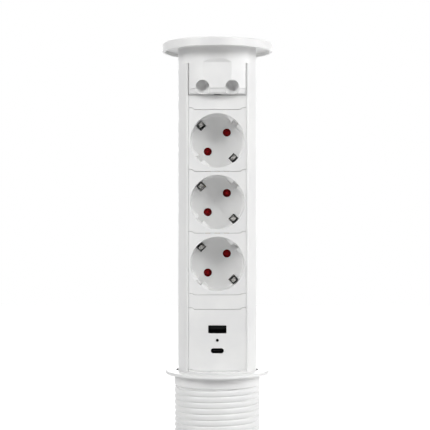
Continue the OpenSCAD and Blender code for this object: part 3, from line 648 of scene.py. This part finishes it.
def well_tool():
    """The space of the well: its wall is round but for the lands, and its mouth and floor are rounded."""
    groove_in = math.asin(land_groove_half / well_r)
    groove_out = math.atan(land_groove_half / land_r)
    land_end = math.acos(land_r / well_r)
    quarter = [0, groove_in / 2, groove_in]
    quarter += [groove_out + (land_end - groove_out) * k / land_steps for k in range(land_steps + 1)]
    quarter += [land_end + (math.pi / 2 - land_end) * k / wall_steps for k in range(1, wall_steps + 1)]
    half_turn = [-a for a in quarter[:0:-1]] + quarter[:-1]
    angles = half_turn + [a + math.pi for a in half_turn]
    mouth = [math.pi / 2 * k / mouth_steps for k in range(mouth_steps + 1)]
    foot = [math.pi / 2 * k / floor_steps for k in range(floor_steps + 1)]
    depths = [-past] + [mouth_round * (1 - math.cos(a)) for a in mouth]
    depths += [land_lead * k / lead_steps for k in range(1, lead_steps + 1)]
    depths += [well_depth - floor_round + floor_round * math.sin(a) for a in foot]
    rings = []
    for depth in depths:
        ring = []
        for angle in angles:
            off_line = min(abs(angle), abs(angle - math.pi))
            r = well_r + round_over(max(depth, 0), mouth_round)
            if groove_in + hair < off_line < math.pi / 2 - hair:
                land = land_r + max(0, land_lead - max(depth, 0))
                r = min(r, land / math.cos(off_line))
            r -= round_over(well_depth - depth, floor_round)
            ring.append(leaned(r * math.cos(angle), face_y + depth, r * math.sin(angle)))
        rings.append(ring)
    return stacked("well_tool", rings)


def deep_lathe(name, loop, x, z, columns=48):
    """A turned solid that runs from front to back: its loop is (radius, y)."""
    mesh = lathe(name, lambda angle: loop, columns=columns)
    for vertex in mesh.vertices:
        vertex.co = Vector((vertex.co.x + x * mm, vertex.co.z, z * mm - vertex.co.y))
    return mesh


pin_places = [(side * pin_reach * math.cos(lean), side * pin_reach * math.sin(lean)) for side in (-1, 1)]
pin_loop = [
    (0, floor_y - pin_lead), (pin_hole_r + pin_bevel + pin_lead, floor_y - pin_lead),
    (pin_hole_r, floor_y + pin_bevel), (pin_hole_r, well_back_y + past), (0, well_back_y + past)]
pin_tools = [deep_lathe("pin_tool", pin_loop, x, z) for x, z in pin_places]
window_tools = [
    leaned_block((-window_half, window_half), (floor_y - past, well_back_y + past),
                 (side * earth_r - window_half, side * earth_r + window_half)) for side in (-1, 1)]
cup_loop = [(0, cup_front_y), (cup_r, cup_front_y), (cup_r, well_back_y), (0, well_back_y)]
socket_mesh = hooked(insert_plate("socket_face", insert_h, True), hook_places)
for vertex in socket_mesh.vertices:
    vertex.co.z -= insert_h / 2 * mm
socket_mesh = cut(socket_mesh, deep_lathe("cup", cup_loop, 0, 0, columns=120), operation="UNION")
socket_mesh = cut(socket_mesh, well_tool(), *pin_tools, *window_tools)
levels = ("top", "middle", "bottom")
socket_z = {}
for level in levels:
    shutter_lo, shutter_hi = box_mm("shutter_" + level)
    socket_z[level] = (shutter_lo.z + shutter_hi.z) / 2
    piece("socket_" + level, socket_mesh, white_abs, "tower", "white_plastic", "socket_face_" + level,
          place=(0, 0, socket_z[level]))

# Shutters and contacts
# Behind each well a dark cup holds two brass grips for the pins and a red shutter on a pivot. A steel
# strip round the cup brings the earth forward through the windows.
shutter_lo, shutter_hi = box_mm("shutter_top")
pad_r = (shutter_hi.x - shutter_lo.x) / 2 - pin_reach * math.cos(lean)
plate_y = shutter_hi.y - 0.6
plate_round = 0.2
hub_r = 3
bar_half = 1.6
bar_inset = 0.1
boss_r = 1.8
boss_slope = 0.5
boss_round = 0.4
boss_lap = 0.2
pivot_hole_r = 1.95


def round_plate(x, z, radius):
    """A flat disc of the shutter with a rounded rim."""
    loop = rounded([(0, plate_y, 0), (radius, plate_y, plate_round), (radius, shutter_hi.y, plate_round),
                    (0, shutter_hi.y, 0)], 3)
    return deep_lathe("disc", loop, x, z, columns=40)


def pin_boss(x, z):
    """The raised middle of a pad, which meets the tip of a pin first."""
    loop = rounded([(0, shutter_lo.y, 0), (boss_r - boss_slope, shutter_lo.y, boss_round),
                    (boss_r, plate_y + boss_lap, 0), (0, plate_y + boss_lap, 0)], 4)
    return deep_lathe("boss", loop, x, z, columns=40)


bar = leaned_block((-pin_reach, pin_reach), (plate_y + bar_inset, shutter_hi.y - bar_inset),
                   (-bar_half, bar_half))
shutter_mesh = cut(bar, *[round_plate(x, z, pad_r) for x, z in pin_places], round_plate(0, 0, hub_r),
                   *[pin_boss(x, z) for x, z in pin_places], operation="UNION")
pivot_loop = [(0, shutter_lo.y - past), (pivot_hole_r, shutter_lo.y - past),
              (pivot_hole_r, shutter_hi.y + past), (0, shutter_hi.y + past)]
shutter_mesh = cut(shutter_mesh, deep_lathe("pivot_tool", pivot_loop, 0, 0, columns=32))

# Nylon, moulded, dyed red, with a slight gloss; the red is taken deeper than the shutter's own as painted
# shade for the pin holes it lies behind
red_nylon_painted_shade = mottled("red_nylon_deepened_painted_shade", {"IOR": 1.53, "Specular IOR Level": 0.15},
                    ("#960a0e", "#aa0c11"), 3, 0.3, 0.004, (0.45, 0.55))
# Glass-filled nylon: charcoal and matt, speckled where its fibres lie near the surface
dark_nylon = mottled("dark_glass_filled_nylon", {"IOR": 1.53},
                     ("#303133", "#3f4043"), 1.2, 0.3, 0.015, (0.5, 0.65))
# Brass, stamped: warm yellow metal with dull and bright patches from the press
stamped_brass = mottled("stamped_brass", {"Metallic": 1},
                        ("#b08d3e", "#cba75a"), 4, 0.3, 0.004, (0.25, 0.4))
# The shutters' deeper red is partly painted shade for the pin holes.
for level in levels:
    piece("red_shutter_" + level, shutter_mesh, red_nylon_painted_shade, "shutter_" + level, "red_plastic",
          "shutter_" + level, place=(0, 0, socket_z[level]))
dress(dark_nylon, *["contact_housing_" + level for level in levels])
dress(stamped_brass, *["pin_contacts_" + level for level in levels])

strip_t = 0.8
strip_half = 2
strip_back_y = box_mm("earth_strip_top")[1].y - strip_t / 2
strip_bend = 1.2
tip_half = 1.4
taper = 6
bow = 1.1
# An arm's corners in the well: how far before its floor, how far from its middle, and the bend's radius
arm_corners = [(3, earth_r, 6), (8, earth_r - bow, 2.5), (12.4, earth_r + bow / 2, 0)]


def strip_mesh():
    """A strip bent to a U whose arms bow inwards and narrow to their tips: a path of depth and reach is
    given a thickness, then a width."""
    path = rounded([(strip_back_y, 0, 0), (strip_back_y, earth_r, strip_bend)]
                   + [(floor_y - before, reach, bend) for before, reach, bend in arm_corners])
    half = len(path)
    arm = []
    for side in (1, -1):
        for i, point in enumerate(path):
            along = (path[min(i + 1, half - 1)] - path[max(i - 1, 0)]).normalized()
            edge = point + turned(along, math.pi / 2) * side * strip_t / 2
            narrow = (strip_half - tip_half) * smooth_step(floor_y, floor_y - taper, point.x)
            arm.append((edge, strip_half - narrow))
    arm = arm[:half] + arm[:half - 1:-1]
    outline = [(p.x, p.y, w) for p, w in arm] + [(p.x, -p.y, w) for p, w in arm[::-1]]
    points = [leaned(face * w, y, reach) for face in (-1, 1) for y, reach, w in outline]
    count = len(outline)
    faces = [(i, (i + 1) % count, count + (i + 1) % count, count + i) for i in range(count)]
    for start in (0, count // 2):
        for i in range(half - 1):
            a, b = start + i, start + 2 * half - 1 - i
            faces += [(a, a + 1, b - 1, b), (count + a, count + b, count + b - 1, count + a + 1)]
    return mesh_of("earth_clip", points, faces)


for level in levels:
    piece("earth_clip_" + level, strip_mesh(), nickel_steel, "tower", "steel", "earth_strip_" + level,
          place=(0, 0, socket_z[level]))

# Wiring
# Three stamped brass bars and three copper wires in PVC covers carry the supply up the tower behind the
# sockets.
wire_reach = 10
wire_cloud_mm = 5
wire_gloss = (0.35, 0.55)
wire_bands = [(0, "#2d5fa8"), (0.3, "#3f9a4a"), (0.5, "#d8c53a"), (0.7, "#6b4329")]

# PVC cover, extruded: brown, blue, and green with a yellow stripe, with a gloss that comes and goes
# along it
wire_pvc, wire_tree, wire_shader = start_material("wire_pvc_extruded", {"IOR": 1.53})
wire_point = add(wire_tree, "ShaderNodeTexCoord", {}).outputs["Object"]
wire_clouds = add(wire_tree, "ShaderNodeTexNoise", {
    "Vector": wire_point, "Scale": 1 / (wire_cloud_mm * mm), "Detail": 2})
wire_sheen = add(wire_tree, "ShaderNodeMapRange", {
    "Value": wire_clouds.outputs["Fac"], "To Min": wire_gloss[0], "To Max": wire_gloss[1]})
wire_tree.links.new(wire_sheen.outputs["Result"], wire_shader.inputs["Roughness"])
wire_place = add(wire_tree, "ShaderNodeSeparateXYZ", {"Vector": wire_point})
wire_across = add(wire_tree, "ShaderNodeMapRange", {
    "Value": wire_place.outputs["X"], "From Min": -wire_reach * mm, "From Max": wire_reach * mm})
wire_ramp = add(wire_tree, "ShaderNodeValToRGB", {"Fac": wire_across.outputs["Result"]})
wire_ramp.color_ramp.interpolation = "CONSTANT"
for index, (position, code) in enumerate(wire_bands):
    stops = wire_ramp.color_ramp.elements
    stop = stops[index] if index < len(stops) else stops.new(position)
    stop.position = position
    stop.color = linear(code)
wire_tree.links.new(wire_ramp.outputs["Color"], wire_shader.inputs["Base Color"])
dress(stamped_brass, "line_busbar", "neutral_busbar", "earth_busbar")
dress(wire_pvc, "supply_wires")

# Charging insert
# A face plate with a wide and a narrow port and a small round indicator. The ports sit on a circuit
# board in a box behind the face. Their tongues are black, and their steel shells are coloured near black
# as painted shade for the dark depth of the ports.
port_a_w, port_a_h, port_a_z = 12.6, 5.5, 28.75
port_a_corner = 0.6
port_c_w, port_c_h, port_c_z = 9, 3.5, 14
port_c_corner = port_c_h / 2 - 0.01
# How much wider a port's slot is at each depth: flared at the face, and clear of the shell behind it
slot_flare = [(-past, 0.25), (0, 0.25), (0.07, 0.07), (0.25, 0), (1, 0), (1, 0.4), (face_t + past, 0.4)]
indicator_z = 21.3
indicator_r = 0.95
indicator_bevel = 0.2
charger_z = box_mm("charger_face")[0].z - seam / 2


def slot_tool(width, height, z, corner):
    """A slot with round corners, flared where it meets the face."""
    rings = []
    for depth, flare in slot_flare:
        half_w, half_h = width / 2 + flare, height / 2 + flare
        corners = [(half_w, half_h), (-half_w, half_h), (-half_w, -half_h), (half_w, -half_h)]
        outline = rounded([(x, y, corner + flare) for x, y in corners], 6)
        rings.append([(p.x, face_y + depth, p.y + z) for p in outline])
    return stacked("slot_tool", rings)


indicator_out = indicator_r + indicator_bevel
indicator_back_y = face_y + face_t + past
indicator_loop = [
    (0, face_y - past), (indicator_out, face_y - past), (indicator_out, face_y),
    (indicator_r, face_y + indicator_bevel), (indicator_r, indicator_back_y), (0, indicator_back_y)]
charger_mesh = cut(hooked(insert_plate("charger_plate", insert_h, True), hook_places),
                   slot_tool(port_a_w, port_a_h, port_a_z, port_a_corner),
                   slot_tool(port_c_w, port_c_h, port_c_z, port_c_corner),
                   deep_lathe("indicator_tool", indicator_loop, 0, indicator_z))
piece("charger_plate", charger_mesh, white_abs, "tower", "white_plastic", "charger_face",
      place=(0, 0, charger_z))

# Drawn steel for the port shells, coloured near black as painted shade that stands in for the dark depth of
# the port, with a metal gloss
port_steel_painted_shade = mottled("port_steel_painted_shade_dark", {"Metallic": 1},
                       ("#161617", "#1e1e1f"), 2, 0.2, 0.002, (0.3, 0.4))
# Liquid crystal polymer, moulded: dense black with a dull sheen
black_lcp = mottled("black_polymer_moulded", {"IOR": 1.6, "Specular IOR Level": 0.08},
                    ("#0b0b0c", "#111112"), 2, 0.3, 0.004, (0.5, 0.6))
# Smoked polycarbonate, polished, black until the lamp behind it is lit; its colour is taken to near black as
# painted shade for the small dark hole it sits in
lens_painted_shade = mottled("polycarbonate_lens_painted_shade", {"IOR": 1.58, "Specular IOR Level": 0.1},
                      ("#08080a", "#0d0d0f"), 1, 0.5, 0.001, (0.06, 0.1))
# Glass-epoxy board: glossy green solder mask, darker in patches
green_board = mottled("green_glass_epoxy_board", {"IOR": 1.55},
                      ("#14502f", "#1f6a40"), 1.5, 0.3, 0.01, (0.25, 0.35))
# Polyester tape, wound: bright yellow with a film gloss
yellow_tape = mottled("yellow_polyester_tape_wound", {"IOR": 1.6},
                      ("#bf9c2c", "#d4b445"), 1, 0.6, 0.02, (0.25, 0.35))
# Shrunk PVC sleeve: near black with a smooth gloss
can_sleeve = mottled("black_pvc_sleeve_shrunk", {"IOR": 1.53},
                     ("#1c1d24", "#262832"), 4, 0.4, 0.004, (0.25, 0.32))
# The port shells' near-black colour is painted shade for the depth of the ports.
dress(port_steel_painted_shade, "port_a_shell", "port_c_shell")
dress(black_lcp, "port_a_tongue", "port_c_tongue")
# The lens's near-black colour is painted shade for its hole.
dress(lens_painted_shade, "indicator_lens")
dress(dark_nylon, "charger_box")
dress(green_board, "charger_board")
dress(yellow_tape, "charger_transformer")
dress(can_sleeve, "charger_capacitors")

# Head
# A moulding of white ABS: a round neck, and an apron that fills the front above the inserts. The apron
# has a flat place with a leaning top, two thumb scoops, a stepped chin and a pry notch.
head_lo, head_hi = box_mm("tower_head")
neck_low = shell_hi.z
neck_top = head_hi.z
neck_in_r = tower_r - 4
apron_half = open_half - 0.32
apron_wall = 2
apron_back_y = face_y + apron_wall
apron_side_round = 0.25
chin_z = head_lo.z - 0.3
chin_top = chin_z + 3.9
chin_step = 0.6
chin_step_h = 0.2
chin_slope = 0.3
chin_return_h = 0.7
chin_return_slope = 3
chin_proud = 0.7
chin_round = 0.6
least_round = 0.3
flat_half = 9.75
flat_y = -math.sqrt(tower_r ** 2 - flat_half ** 2)
flat_top = head_lo.z + 21.2
flat_rise = 2.8
flat_crease = 0.12
scoop_x = 10.1
scoop_y = -math.sqrt(tower_r ** 2 - scoop_x ** 2)
scoop_yaw = math.radians(20)
# Two eggs cut each scoop: radius, half length, tilt, how far in, and how far above the head's foot
scoop_eggs = [(5, 6.4, math.radians(57), 1.4, 3.7), (4.4, 8.2, math.radians(35), 4.2, 5.9)]
egg_steps = 32
boss_half = 16
boss_top = head_lo.z + 14
boss_back_y = face_y + 6
notch_half = 2.4
notch_top = chin_z + 0.8
notch_front_y = face_y - 4
apron_step = 0.3
neck_columns = 90
chin_rows = 8
# The rows of the mesh lie closer where its form turns: where each stretch of them ends, and their height
row_stretches = [(chin_top - 0.4, 0.3), (chin_top + 0.2, 0.1), (chin_z + 10, 0.3), (flat_top - 1, 0.8),
                 (flat_top + 3.4, 0.3), (neck_top, 0.9)]


def soft_max(a, b, reach):
    lap = max(reach - abs(a - b), 0) / reach
    return max(a, b) + lap * lap * reach / 4


def apron_y(x, z):
    """How far back the head's front lies: each cut pushes it back, and the edges between them are soft."""
    below = max(chin_top - z, 0)
    drawn_in = chin_step * smooth_step(0, chin_step_h, below) + chin_slope * below
    drawn_in += chin_return_slope * max(chin_z + chin_return_h - z, 0)
    round_y = -math.sqrt((tower_r - drawn_in) ** 2 - x ** 2)
    flat_plane = flat_y - max(z - flat_top, 0) * (tower_r + flat_y) / flat_rise
    y = min(soft_max(round_y, flat_plane + drawn_in, flat_crease), face_y - chin_proud)
    y += round_over(z - chin_z, min(chin_round, max(face_y - y, least_round)))
    if z < neck_low:
        y += round_over(apron_half - abs(x), apron_side_round)
    return y


half_steps = round(apron_half / apron_step)
front_columns = 2 * half_steps + 1
front_end = math.asin(apron_half / tower_r)
round_turn = 2 * math.pi - 2 * front_end
head_columns = [math.asin(apron_half * k / half_steps / tower_r) for k in range(-half_steps, half_steps + 1)]
head_columns += [front_end + round_turn * k / neck_columns for k in range(1, neck_columns)]
head_rows = [chin_z + chin_round * (1 - math.cos(math.pi / 2 * k / chin_rows)) for k in range(chin_rows)]
start = chin_z + chin_round
for end, row_h in row_stretches:
    count = round((end - start) / row_h)
    head_rows += [start + (end - start) * k / count for k in range(count)]
    start = end
head_rows.append(neck_top)
neck_row = min(range(len(head_rows)), key=lambda i: abs(head_rows[i] - neck_low))
head_rows[neck_row] = neck_low
fronts = []
backs = []
for row, z in enumerate(head_rows):
    for k, angle in enumerate(head_columns):
        x = tower_r * math.sin(angle)
        y = apron_y(x, z) if k < front_columns else -tower_r * math.cos(angle)
        fronts.append((x, y, z))
        if row >= neck_row:
            backs.append((neck_in_r * math.sin(angle), -neck_in_r * math.cos(angle), z))
        elif abs(x) < boss_half and z < boss_top:
            backs.append((x, boss_back_y, z))
        else:
            neck_y = -math.sqrt(max(neck_in_r ** 2 - x * x, 0))
            backs.append((x, min(apron_back_y, max(neck_y, y + apron_wall)), z))
around = len(head_columns)
behind = len(fronts)
head_faces = []
edges_seen = {}
for row in range(len(head_rows) - 1):
    for k in range(around):
        if row < neck_row and k >= front_columns - 1:
            continue
        a, b = row * around + k, row * around + (k + 1) % around
        cell = (a, b, b + around, a + around)
        head_faces.append(cell)
        head_faces.append(tuple(i + behind for i in cell[::-1]))
        for edge in zip(cell, cell[1:] + cell[:1]):
            key = (min(edge), max(edge))
            edges_seen[key] = edges_seen.get(key, 0) + 1
head_faces += [(a, b, b + behind, a + behind) for (a, b), seen in edges_seen.items() if seen == 1]


def thumb_tool(side, radius, half_length, tilt, inset, rise):
    """An egg-shaped cutter that leans up and in, so that the scoop is deep at its top and runs out over
    the chin."""
    swing = [math.pi * (k / egg_steps - 0.5) for k in range(egg_steps + 1)]
    loop = [(radius * math.cos(a), half_length * math.sin(a)) for a in swing]
    tool = deep_lathe("thumb_tool", loop, 0, 0, columns=96)
    middle = Vector((side * scoop_x, scoop_y + inset, head_lo.z + rise)) * mm
    for vertex in tool.vertices:
        y, z = turned(Vector((vertex.co.y, vertex.co.z)), tilt)
        x, y = turned(Vector((vertex.co.x, y)), side * scoop_yaw)
        vertex.co = Vector((x, y, z)) + middle
    return tool


notch_tool = block((-notch_half, notch_half), (notch_front_y, boss_back_y + past), (chin_z - past, notch_top))
scoop_tools = [thumb_tool(side, *egg) for egg in scoop_eggs for side in (-1, 1)]
head_mesh = cut(mesh_of("head", fronts + backs, head_faces), notch_tool, *scoop_tools)
piece("head", head_mesh, white_abs, "tower", "white_plastic", "tower_head", sharp=40)

# Lid
# A thick disc of moulded ABS with a rounded edge, hollow below so that it closes over the flange. Two
# screws from inside the neck hold it.
lid_lo, lid_hi = box_mm("lid")
lid_r = lid_hi.x
hollow_r = flange_r + 0.6
hollow_round = 0.5
rim_in_round = 0.3
rim_out_round = 0.4
lid_round = 1.2
lid_loop = rounded([
    (0, neck_top, 0), (hollow_r, neck_top, hollow_round), (hollow_r, lid_lo.z, rim_in_round),
    (lid_r, lid_lo.z, rim_out_round), (lid_r, lid_hi.z, lid_round), (0, lid_hi.z, 0)])
piece("lid_disc", lathe("lid_disc", lambda angle: lid_loop, columns=160), white_abs, "tower",
      "white_plastic", "lid")

# Stage and light
# A pale floor under the sleeve and an even weak sky. Two soft lamps stand in front at the left and the
# right, with a panel on each side, the right one stronger, a weak fill low in front, one lamp behind for
# the tower's back and one above for the lid.
floor_half = 4000
shadow_near, shadow_far = 0.3, 1.1
near_lift = 0.5
sky_strength = 0.025
tower_middle = Vector((0, 0, 0.11))
# Each lamp's place, width and height in metres, and its watts
lamps = {
    "left_lamp": ((-0.95, -0.92, 0.8), 0.36, 0.6, 10.9),
    "right_lamp": ((0.95, -0.92, 0.8), 0.36, 0.6, 10.2),
    "low_fill": ((0, -1.4, -0.16), 0.5, 0.5, 0.3),
    "right_panel": ((1.38, -0.12, 0.35), 0.8, 0.8, 7.8),
    "left_panel": ((-1.38, -0.12, 0.35), 0.8, 0.8, 2.3),
    "back_lamp": ((0, 1.6, 0.5), 0.9, 0.9, 10.5),
    "top_lamp": ((0, 0.15, 1.7), 0.9, 0.9, 5)}

floor_corners = [(-1, -1), (1, -1), (1, 1), (-1, 1)]
floor_mesh = mesh_of("floor", [(x * floor_half, y * floor_half, 0) for x, y in floor_corners], [(0, 1, 2, 3)])
floor = bpy.data.objects.new("floor", floor_mesh)
floor.location.z = cad_box[0].z
scene.collection.objects.link(floor)

# Painted board: matt and pale. What the eye sees of it is lifted to white, less so close to the object,
# where the shadow shows.
pale_floor, floor_tree, floor_shader = start_material("pale_painted_board", {
    "Base Color": linear("#d8d8d8"), "Roughness": 0.9, "Specular IOR Level": 0.1,
    "Emission Color": (1, 1, 1, 1)})


def seen_rays(tree):
    """Tells rays that show a surface from rays that light by it."""
    rays = add(tree, "ShaderNodeLightPath", {}).outputs
    seen = rays["Is Camera Ray"]
    for other in ("Is Glossy Ray", "Is Transmission Ray"):
        seen = add(tree, "ShaderNodeMath", {0: seen, 1: rays[other]}, operation="MAXIMUM").outputs[0]
    return seen


floor_place = add(floor_tree, "ShaderNodeTexCoord", {}).outputs["Object"]
away = add(floor_tree, "ShaderNodeVectorMath", {0: floor_place}, operation="LENGTH")
lift = add(floor_tree, "ShaderNodeMapRange", {
    "Value": away.outputs["Value"], "From Min": shadow_near, "From Max": shadow_far,
    "To Min": near_lift, "To Max": 1})
seen_lift = add(floor_tree, "ShaderNodeMath", {0: lift.outputs["Result"], 1: seen_rays(floor_tree)},
                operation="MULTIPLY")
floor_tree.links.new(seen_lift.outputs[0], floor_shader.inputs["Emission Strength"])
floor_mesh.materials.append(pale_floor)

world = bpy.data.worlds.new("studio")
scene.world = world
world.use_nodes = True
sky = world.node_tree
sky_level = add(sky, "ShaderNodeMapRange", {"Value": seen_rays(sky), "To Min": sky_strength, "To Max": 1})
sky.nodes["Background"].inputs["Color"].default_value = (1, 1, 1, 1)
sky.links.new(sky_level.outputs["Result"], sky.nodes["Background"].inputs["Strength"])

for name, (place, lamp_w, lamp_h, watts) in lamps.items():
    light = bpy.data.lights.new(name, "AREA")
    light.shape = "RECTANGLE"
    light.size = lamp_w
    light.size_y = lamp_h
    light.energy = watts
    lamp = bpy.data.objects.new(name, light)
    lamp.location = place
    lamp.rotation_euler = (Vector(place) - tower_middle).to_track_quat("Z", "Y").to_euler()
    scene.collection.objects.link(lamp)
